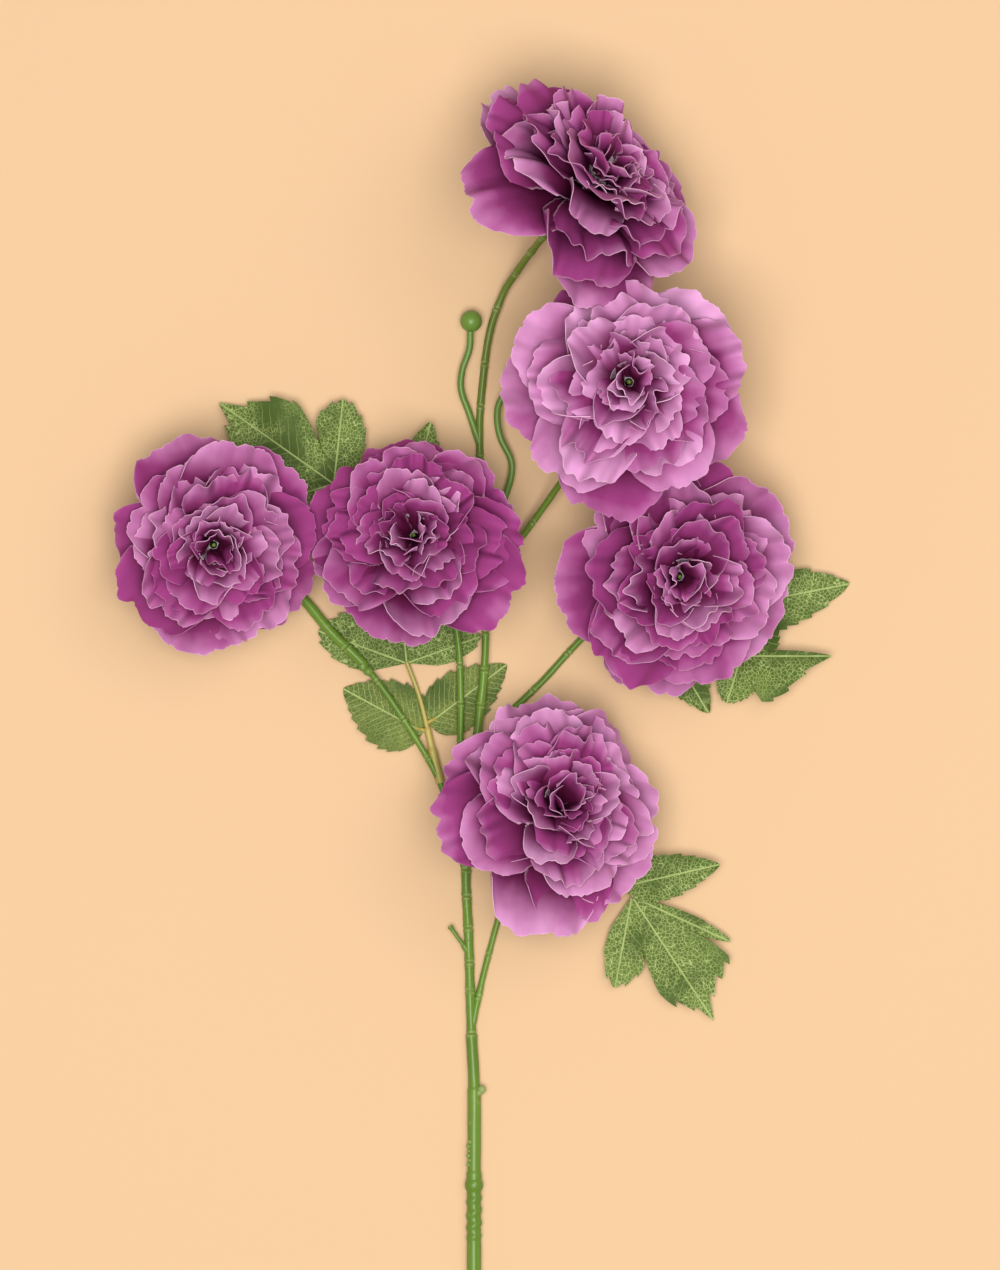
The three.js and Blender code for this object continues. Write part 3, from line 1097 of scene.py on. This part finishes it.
@dataclass
class Stems:
    """The lower stem with its collar, the main stem, the branches and the bud stalks.

    Its necks are the two points at the back of each head that the head's branch ends on.
    """

    place: Matrix
    necks: dict[str, tuple[Vector, Vector]]
    axis_height: float = 3.4
    lower_radius: float = 2.6
    bead_radius: float = 4.03
    first_joint: float = 11
    last_joint: float = 110
    collar_start: float = 159.0
    collar_top: float = 183.5

    def lower_stem(self) -> None:
        """Builds the thick stem and the lumpy beads of its collar."""

        def radius(distance: float, angle: float) -> float:
            """The stem's radius with its beads and the groove between its two runs.

            Args:
                distance: How far along the stem.
                angle: How far round it.

            Returns:
                The radius, in millimetres.
            """
            collar = ramp(distance, self.collar_start - 1, self.collar_start)
            size = self.lower_radius - 0.1 * collar + 0.05 * cloud(distance * 0.06, angle, 1)
            size -= 0.5 * ramp(distance, self.collar_top - 0.9, self.collar_top)
            for middle, bulge, width, shift in COLLAR_BEADS:
                away = (distance - middle - shift * math.cos(angle)) / width
                size = max(size, bulge * math.sqrt(max(0.0, 1 - away * away)))
            groove = (0.36 - 0.12 * collar) * hump(angle, 1.0, 0.2)
            return size - groove + 0.08 * hump(angle, math.pi, 0.12)

        bm = bmesh.new()
        line = smooth_line([(0, 0, self.axis_height), (0, self.collar_top, self.axis_height)], 0.5)
        sweep(bm, line, radius, 36)
        piece = Piece("lower_stem_moulding", Finish.STEM, ("lower_stem",), "stem_plastic")
        piece.make(bm, self.place, sharp=50)

    def main_stem(self) -> None:
        """Builds the main stem with its twig, knob and blobs."""
        neck, base = self.necks["top"]
        route = (*MAIN_ROUTE, tuple(neck), tuple(base))
        bm = bmesh.new()
        Rod(route, MAIN_RADII, MAIN_JOINTS, grooves=((0.9, 0.16),)).add_to(bm)
        Rod(TWIG, TWIG_RADII, flash=0.03, sides=12).add_to(bm)
        for knob in MAIN_KNOBS:
            self.blob(bm, *knob)
        piece = Piece("main_stem_moulding", Finish.STEM, ("main_stem",), "stem_plastic")
        piece.make(bm, self.place, sharp=50)

    def blob(
        self, bm: bmesh.types.BMesh, at: tuple[float, float, float], size: float, pale: float
    ) -> None:
        """Adds a small pale lump of plastic.

        Args:
            bm: The mesh it is added to.
            at: Its middle.
            size: Its radius.
            pale: How pale it is, from 0 to 1.
        """
        layer = bm.verts.layers.float["pale"]
        made = bmesh.ops.create_uvsphere(bm, u_segments=14, v_segments=10, radius=size)
        for vert in made["verts"]:
            vert.co *= 1 + 0.2 * cloud(vert.co.x * 0.9 + at[1], vert.co.y * 0.9, at[0])
            vert.co += Vector(at)
            vert[layer] = pale

    def branch(self, name: str) -> None:
        """Builds one branch up to its head.

        Args:
            name: The head's name.
        """
        neck, base = self.necks[name]
        route = (*BRANCH_ROUTES[name], tuple(neck), tuple(base))
        joints = every(BRANCH_JOINT_PITCH[name], self.first_joint, self.last_joint)
        radii = BRANCH_RADII.get(name, ((0, 1.2),))
        bm = bmesh.new()
        Rod(route, radii, joints, sides=20, grooves=((2.2, 0.12),)).add_to(bm)
        for knob in BRANCH_KNOBS.get(name, ()):
            self.blob(bm, *knob)
        piece = Piece(f"{name}_branch_moulding", Finish.STEM, (f"{name}_branch",), "stem_plastic")
        piece.make(bm, self.place, sharp=50)

    def bud(self, name: str, stalk: Route) -> None:
        """Builds a curved stalk and the round bead on its end.

        Args:
            name: Which bud it is.
            stalk: The stalk's route.
        """
        bm = bmesh.new()
        Rod(stalk, ((0, 1.32), (6, 1.2)), sides=20, flash=0.03).add_to(bm)
        node = f"{name}_bud_stalk"
        Piece(f"{node}_moulding", Finish.BUD, (node,), "stem_plastic").make(bm, self.place)
        low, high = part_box(f"{name}_bud")
        middle = self.place.inverted() @ ((low + high) / 2)
        bm = bmesh.new()
        made = bmesh.ops.create_uvsphere(
            bm, u_segments=48, v_segments=32, radius=self.bead_radius
        )
        for vert in made["verts"]:
            seam = 1 + 0.006 * hump(vert.co.z, 0, 0.16)
            vert.co = vert.co * seam + middle
        node = f"{name}_bud"
        Piece(f"{node}_bead", Finish.BUD, (node,), "bud_plastic").make(bm, self.place)

    def build(self) -> None:
        """Builds every stem."""
        self.lower_stem()
        self.main_stem()
        for name in BRANCH_ROUTES:
            self.branch(name)
        for name, stalk in BUD_STALKS.items():
            self.bud(name, stalk)


# Each bead of the collar: its middle along the stem, its radius, its half length and its slant.
COLLAR_BEADS = (
    (161.8, 2.85, 2.3, 0.5), (166.0, 2.95, 2.6, 0.9), (170.6, 2.95, 2.7, 1.1),
    (175.4, 2.9, 2.6, 0.8), (181.0, 3.35, 3.6, 0.0),
)
# The main stem's radius from each distance on, its ring joints and its route.
MAIN_RADII = ((0, 2.75), (3.4, 2.4), (34.4, 2.05), (54.7, 1.72), (146, 1.6), (191, 1.36))
MAIN_JOINTS = (
    54.7, 70.6, 81.2, 93.9, 105.7, 115.7, 127, 139, 151, 164, 177, 190, 204, 219, 234, 250, 269,
    288, 304, 325, 341, 355, 368, 381,
)
MAIN_ROUTE = (
    (0, 182.4, 3.4), (0, 217, 3), (-1, 238, 2.4), (-2, 272, 1.95), (-3, 298, 2.2), (-1, 326, 3.4),
    (1, 346, 4.4), (4, 376, 5), (4, 402, 4.6), (3, 431, 3), (2, 461, 1.6), (3.2, 479, 2),
    (6, 498, 3.6), (11, 512, 6), (15.5, 519, 10.5), (20, 525, 18),
)
# Lumps of plastic: where each is, its radius and how pale it is.
MAIN_KNOBS = (
    ((2.9, 216.5, 3.9), 1.6, 0.8),
    ((1.9, 215.2, 4.3), 1.2, 0.6),
    *(((-2.1 + 0.5 * (i % 2), 188.6 + 1.7 * i, 4.2 + 0.3 * (i % 3)), 0.85, 0.35) for i in range(6)),
)
BRANCH_KNOBS = {"left": (((-39.2, 371.6, 5.4), 1.9, 0.15), ((-41.2, 373.4, 5.2), 1.8, 0.1))}
TWIG = ((-2, 267, 2.2), (-3.6, 269.4, 2.6), (-5.5, 272, 3), (-9, 277, 3.6))
TWIG_RADII = ((0, 1.1), (3.6, 0.7), (11.2, 1.0))
BRANCH_ROUTES = {
    "left": (
        (-3, 297, 2.2), (-8, 313, 3), (-13, 331, 4.4), (-27, 355, 5), (-40, 373, 5), (-53, 386, 4),
        (-64, 399, 2.4), (-78, 411, 1.9), (-93, 419, 5),
    ),
    "centre": ((-1.4, 320, 3.2), (-4.8, 335, 4.2), (-5, 361, 5.4), (-6, 383, 6.6), (-10, 402, 8)),
    "right": (
        (1, 343, 4.2), (13, 356, 2.8), (25, 367.5, 1.7), (36, 379.5, 1.5), (51, 395, 1.8),
        (64, 406, 5.5),
    ),
    "upper": ((4, 401, 4.6), (11, 413, 4.6), (19, 423, 7), (29, 437, 13), (43, 457, 25)),
    "low": ((-0.6, 240, 2.4), (3, 257, 2.2), (9, 280, 2.2), (14, 298, 4.6)),
}
BRANCH_RADII = {"left": ((0, 1.3), (9, 1.15), (86, 1.85)), "low": ((0, 1.2), (15, 1.08))}
BRANCH_JOINT_PITCH = {"left": 17, "centre": 14.5, "right": 19, "upper": 21, "low": 16}
BUD_STALKS = {
    "left": (
        (2, 456, 1.6), (-1.8, 467, 3), (-4.8, 476, 4), (-4.4, 483, 4.5), (-1.8, 491, 5),
        (-1.4, 497.4, 5),
    ),
    "right": (
        (3.5, 421, 3), (11, 435, 3.4), (14, 448, 5), (9.5, 459, 6), (8.8, 469, 6), (12.8, 477.4, 6),
    ),
}


# ---- Leaves ------------------------------------------------------------------------------------


@dataclass(frozen=True)
class Lobe:
    """One side of a lobed leaf: directions in degrees from the midrib, reaches as shares of it."""

    slit: float
    depth: float
    turn: float
    reach: float
    edge: float
    body: float = 0.8
    shoulder: float = 0.6


@dataclass(frozen=True)
class Leaf:
    """Where a leaf's base and tip are, and how its cloth bends. Millimetres."""

    base: tuple[float, float, float]
    tip: tuple[float, float, float]
    fold: float = 0.10
    arch: float = 1.2
    wave: float = 0.7

    def place(self) -> tuple[Matrix, float]:
        """The turn that lays the leaf's own Y from base to tip, and its length.

        Returns:
            The turn with the base's place, and the length.
        """
        along = Vector(self.tip) - Vector(self.base)
        length = along.length
        along.normalize()
        side = along.cross(UP).normalized()
        face = side.cross(along)
        turn = Matrix((side, along, face)).transposed().to_4x4()
        return Matrix.Translation(self.base) @ turn, length


@dataclass(frozen=True, kw_only=True)
class SideLeaf(Leaf):
    """An oval leaf with teeth."""

    width: float


@dataclass(frozen=True, kw_only=True)
class EndLeaf(Leaf):
    """A leaf with three lobes, given as its left side and its right side."""

    lobes: tuple[Lobe, Lobe]


@dataclass
class LeafSpray:
    """A stalk with a lobed leaf at its end and two toothed leaves on its sides."""

    name: str
    stalk: Route
    end: EndLeaf
    sides: tuple[SideLeaf, SideLeaf]
    seed: float
    place: Matrix
    side_finish: Finish = Finish.LEAF
    thickness: float = 0.22
    stalk_radii: tuple[tuple[float, float], ...] = ((0, 1.6), (13, 1.25), (21, 0.8))
    stub_radii: tuple[tuple[float, float], ...] = ((0, 0.75), (3, 0.5))

    def stalk_rod(self) -> None:
        """Builds the thin stalk, thick where it is pushed on to its stem, with two side stubs."""
        bm = bmesh.new()
        Rod(self.stalk, self.stalk_radii, sides=14, flash=0.05, step=0.7).add_to(bm)
        for leaf in self.sides:
            near = min(smooth_line(self.stalk, 1), key=lambda p: (p - Vector(leaf.base)).length)
            toward = Vector(leaf.base).lerp(Vector(leaf.tip), 0.1)
            Rod((tuple(near), tuple(toward)), self.stub_radii, sides=10, flash=0).add_to(bm)
        node = f"{self.name}_leaf_stalk"
        piece = Piece(f"{node}_moulding", Finish.STALK, (node,), "leaf_stalk_plastic")
        piece.make(bm, self.place)

    def bend(self, leaf: Leaf, length: float, x: float, y: float, edge: float) -> float:
        """The height of a leaf's cloth over the flat.

        Args:
            leaf: The leaf.
            length: Its length.
            x: A point's distance from the nearest midrib.
            y: Its distance from the base.
            edge: 1 at the leaf's edge and 0 at its middle.

        Returns:
            The height, in millimetres.
        """
        share = y / length
        height = leaf.fold * abs(x) + leaf.arch * math.sin(math.pi * share)
        ripple = 9 * share + 2 * math.copysign(1, x) + self.seed
        height += leaf.wave * edge * edge * math.sin(ripple)
        return height + 0.8 * cloud(x * 0.12, y * 0.1, self.seed)

    def finish(
        self,
        bm: bmesh.types.BMesh,
        node: str,
        leaf: Leaf,
        cloth: dict[tuple[int, int], tuple[float, float]],
        finish: Finish = Finish.LEAF,
    ) -> None:
        """Thickens a leaf, lays it in place and makes its piece.

        Args:
            bm: The leaf, flat on its own axes.
            node: The node it stands for.
            leaf: Where it lies.
            cloth: The place on the cloth of each face's corners, by face and vertex number.
            finish: Which leaf cloth it is.
        """
        layer = bm.loops.layers.uv.new("cloth")
        for face in bm.faces:
            for loop in face.loops:
                x, y = cloth[face.index, loop.vert.index]
                loop[layer].uv = (x / 10, y / 10)
        thicken(bm, self.thickness)
        turn, _ = leaf.place()
        Piece(f"{node}_cloth", finish, (node,), "leaf_fabric").make(bm, self.place @ turn)

    def side_leaf(self, node: str, leaf: SideLeaf, teeth: int = 8) -> None:
        """Builds an oval leaf with forward teeth.

        Args:
            node: The node it stands for.
            leaf: The leaf.
            teeth: How many teeth each side has.
        """
        _, length = leaf.place()
        bm = bmesh.new()
        verts = grid(bm, 14, teeth * 8)
        for vert in verts:
            u, t = vert.co.x, vert.co.y
            half = leaf.width / 2 * math.sin(math.pi * t**0.66) ** 0.62 * (1 - 0.35 * t**5)
            tooth = (t * teeth + 0.2 * math.sin(t * 11 + self.seed) + 0.5 * (u > 0)) % 1
            inside = abs(u) ** 4 * min(1.0, 6 * t) * min(1.0, 5 * (1 - t))
            x = u * max(half, 0.05) * (1 + 0.13 * inside * (tooth - 0.6))
            y = length * (t + 0.028 * inside * (tooth - 0.3))
            vert.co = Vector((x, y, self.bend(leaf, length, x, y, abs(u))))
        bm.faces.ensure_lookup_table()
        bm.verts.index_update()
        cloth = {
            (face.index, vert.index): (vert.co.x, vert.co.y)
            for face in bm.faces
            for vert in face.verts
        }
        self.finish(bm, node, leaf, cloth, self.side_finish)

    def outline(self, away: float, lobe: Lobe) -> float:
        """How far a lobed leaf reaches in a direction, as a share of its length.

        Args:
            away: The direction, in degrees from its middle rib.
            lobe: The side of the leaf that it is on.

        Returns:
            The reach.
        """
        if away < lobe.slit:
            share = away / lobe.slit
            side = lobe.body - (lobe.body - lobe.shoulder) * share**3
            reach = side + (1 - side) * (1 - share) ** 6
            tooth = share * 3.4
        else:
            side = (away - lobe.turn) / (lobe.edge - lobe.turn)
            reach = lobe.reach * (1 - 0.6 * max(0.0, side) ** 1.4)
            if side < 0:
                reach *= 1 - 0.25 * ((lobe.turn - away) / (lobe.turn - lobe.slit)) ** 1.2
            tooth = abs(away - lobe.turn) / 8.5
        jag = 0.5 - (tooth + 0.3) % 1
        reach *= 1 + 0.07 * jag * ramp(tooth, 0.05, 0.4)
        return min(reach, lobe.depth + 0.07 * abs(away - lobe.slit))

    def end_leaf(self, node: str, leaf: EndLeaf, rings: int = 16, rays: int = 90) -> None:
        """Builds the leaf with three lobes, spread from its base like a fan.

        Args:
            node: The node it stands for.
            leaf: The leaf.
            rings: Faces from its base to its edge.
            rays: Faces round each of its sides.
        """
        _, length = leaf.place()
        bm = bmesh.new()
        verts = grid(bm, 2 * rays, rings)
        flat: dict[bmesh.types.BMVert, tuple[float, float]] = {}
        for vert in verts:
            lobe = leaf.lobes[vert.co.x > 0]
            angle = lobe.edge * vert.co.x
            out = max(0.02, vert.co.y) * self.outline(abs(angle), lobe) * length
            rad = math.radians(angle)
            x, y = out * math.sin(rad), out * math.cos(rad)
            flat[vert] = (x, y)
            lateral = out * math.sin(rad - math.radians(self.rib(angle, leaf)))
            vert.co = Vector((x, y, self.bend(leaf, length, lateral, y, vert.co.y)))
        bm.faces.ensure_lookup_table()
        bm.verts.index_update()
        cloth: dict[tuple[int, int], tuple[float, float]] = {}
        for face in bm.faces:
            x = sum(flat[vert][0] for vert in face.verts)
            y = sum(flat[vert][1] for vert in face.verts)
            rib = self.rib(math.degrees(math.atan2(x, y)), leaf)
            spin = Matrix.Rotation(math.radians(rib), 2)
            for vert in face.verts:
                cloth[face.index, vert.index] = tuple(spin @ Vector(flat[vert]))
        self.finish(bm, node, leaf, cloth)

    def rib(self, angle: float, leaf: EndLeaf) -> float:
        """The direction of the rib that a direction belongs to, both in degrees."""
        lobe = leaf.lobes[angle > 0]
        return 0.0 if abs(angle) < lobe.slit else math.copysign(lobe.turn, angle)

    def build(self) -> None:
        """Builds the stalk and its three leaves."""
        self.stalk_rod()
        self.end_leaf(f"{self.name}_end_leaf", self.end)
        for i, leaf in enumerate(self.sides):
            self.side_leaf(f"{self.name}_side_leaf_{i + 1}", leaf)


# Each spray: its name, stalk, end leaf, side leaves and seed. Each lobe: its slit, depth, turn,
# reach and edge, then its body and shoulder where they differ from the usual.
LEAF_SPRAYS = (
    (
        "upper_left",
        ((3, 414, 3.6), (-24, 424, 4), (-46, 433, 5), (-54, 438, 5)),
        EndLeaf(
            (-52, 441, 5), (-94.8, 471.3, 3), arch=2.0,
            lobes=(Lobe(30, 0.4, 52, 0.45, 92, 0.82), Lobe(36, 0.26, 61, 0.6, 104, 0.78, 0.5)),
        ),
        (
            SideLeaf((-26, 425, 4), (-16, 464, 8), width=20),
            SideLeaf((-31, 426, 4.6), (-34, 396, 9), width=18),
        ),
        1.3,
    ),
    (
        "lower_left",
        ((-12.5, 330, 4.4), (-15, 340, 3.4), (-20, 361, 2.2), (-25, 375, 2)),
        EndLeaf(
            (-25, 374.5, 2.1), (-29, 413, 1.4), arch=1.0, wave=0.4, fold=0.03,
            lobes=(Lobe(36, 0.4, 64, 0.9, 96), Lobe(36, 0.4, 76, 0.75, 100)),
        ),
        (
            SideLeaf((-19, 349, 1), (-48.5, 365, 0.9), width=26, arch=0.8, wave=0.3, fold=0.05),
            SideLeaf((-17, 352, 1), (12, 374, 0.9), width=22, arch=0.8, wave=0.3, fold=0.05),
        ),
        4.1,
    ),
    (
        "right",
        ((51, 395, 1.8), (69, 383, 3.4), (84, 379, 5), (97, 379, 6)),
        EndLeaf(
            (99, 377.2, 6), (132.8, 377.2, 7), arch=2.5, fold=0.2,
            lobes=(
                Lobe(10, 0.3, 42, 0.52, 58, 0.86, 0.8),
                Lobe(68, 0.42, 107, 0.54, 152, 0.64, 0.54),
            ),
        ),
        (
            SideLeaf((91, 394.5, 4), (139.2, 404, 2.2), width=24, wave=0.5),
            SideLeaf((72, 381, 3.6), (87, 356, 2.6), width=16),
        ),
        6.7,
    ),
    (
        "low",
        ((14, 298, 4.6), (32, 297, 4), (47, 294, 4), (59, 289, 4)),
        EndLeaf(
            (58.5, 288, 4), (89, 241.8, 1.8), arch=1.6, wave=0.5,
            lobes=(Lobe(27.5, 0.6, 32, 0.73, 42, 0.8, 0.74), Lobe(22, 0.38, 44, 0.62, 68)),
        ),
        (
            SideLeaf((56, 292, 5.8), (91, 300, 8), width=17),
            SideLeaf((41, 295, 4), (25, 280, 2.4), width=14),
        ),
        9.2,
    ),
)
SIDE_FINISHES = {"lower_left": Finish.RIBBED_LEAF}


# ---- Studio ------------------------------------------------------------------------------------


@dataclass(frozen=True)
class Lamp:
    """A square soft lamp: where it hangs from the middle of the view, its side and its power."""

    name: str
    at: tuple[float, float, float]
    size: float
    watts: float
    colour: Colour

    def hang(self, middle: Vector) -> None:
        """Hangs the lamp so that it faces the middle of the view.

        Args:
            middle: The middle of the view.
        """
        data = bpy.data.lights.new(self.name, "AREA")
        data.size = self.size
        data.energy = self.watts
        data.color = self.colour
        lamp = bpy.data.objects.new(self.name, data)
        lamp.location = middle + Vector(self.at)
        lamp.rotation_mode = "QUATERNION"
        lamp.rotation_quaternion = (-Vector(self.at)).to_track_quat("-Z", "Y")
        bpy.context.scene.collection.objects.link(lamp)


LAMPS = (
    Lamp("window", (-0.10, -0.32, 2.8), 1.4, 76, (1.0, 0.97, 0.95)),
    Lamp("fill", (0.85, 0.6, 2.5), 1.7, 19, (1.0, 0.96, 0.94)),
)


@dataclass(frozen=True)
class Studio:
    """A pale table, soft lamps and a camera that looks straight down."""

    middle: Vector
    view_height: float = 0.47
    lens: float = 300.0
    film_height: float = 36.0
    table_size: float = 4.0
    table_drop: float = 0.0004
    sky_strength: float = 0.225
    sky_colour: Colour = (1.0, 0.96, 0.94)

    def table(self) -> None:
        """Lays the table under the spray."""
        bm = bmesh.new()
        bmesh.ops.create_grid(bm, x_segments=1, y_segments=1, size=self.table_size)
        bmesh.ops.translate(bm, verts=bm.verts, vec=(0, 0, -self.table_drop))
        mesh = bpy.data.meshes.new("table")
        bm.to_mesh(mesh)
        bm.free()
        mesh.materials.append(TablePaint().material())
        table = bpy.data.objects.new("table", mesh)
        bpy.context.scene.collection.objects.link(table)
        table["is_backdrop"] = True

    def sky(self) -> None:
        """Fills the room with even light."""
        world = bpy.data.worlds.new("room")
        world.use_nodes = True
        background = world.node_tree.nodes["Background"]
        background.inputs["Color"].default_value = (*self.sky_colour, 1)
        background.inputs["Strength"].default_value = self.sky_strength
        bpy.context.scene.world = world

    def camera(self) -> None:
        """Sets the camera over the middle of the view."""
        data = bpy.data.cameras.new("overhead")
        data.lens = self.lens
        data.sensor_fit = "VERTICAL"
        data.sensor_height = self.film_height
        distance = self.view_height * self.lens / self.film_height
        camera = bpy.data.objects.new("overhead", data)
        camera.location = self.middle + Vector((0, 0, distance))
        bpy.context.scene.collection.objects.link(camera)
        bpy.context.scene.camera = camera

    def build(self) -> None:
        """Sets up the table, lamps and camera."""
        self.table()
        self.sky()
        for lamp in LAMPS:
            lamp.hang(self.middle)
        self.camera()
        bpy.context.scene.view_settings.view_transform = "Standard"


# ---- The whole spray ---------------------------------------------------------------------------


def spray_place() -> Matrix:
    """Takes the spray's millimetres, from the middle of its cut end, to the frame's metres."""
    low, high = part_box("lower_stem")
    return Matrix.Translation(((low.x + high.x) / 2, low.y, low.z)) @ Matrix.Scale(MM, 4)


def main() -> None:
    """Builds the spray and its studio, and works out how large it came out."""
    logging.basicConfig(level=logging.INFO, format="%(name)s: %(message)s")
    place = spray_place()
    necks: dict[str, tuple[Vector, Vector]] = {}
    for name, look in HEAD_LOOKS.items():
        necks[name] = FlowerHead(name, look, LAYERS).build(place)
    Stems(place, necks).build()
    for spray in LEAF_SPRAYS:
        LeafSpray(*spray, place, SIDE_FINISHES.get(spray[0], Finish.LEAF)).build()
    Studio(place @ VIEW_MIDDLE).build()
    boxes = {"cad": CAD_BOUNDS, "visual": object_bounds()}
    {key: [list(corner) for corner in box] for key, box in boxes.items()}


if __name__ == "__main__":
    main()
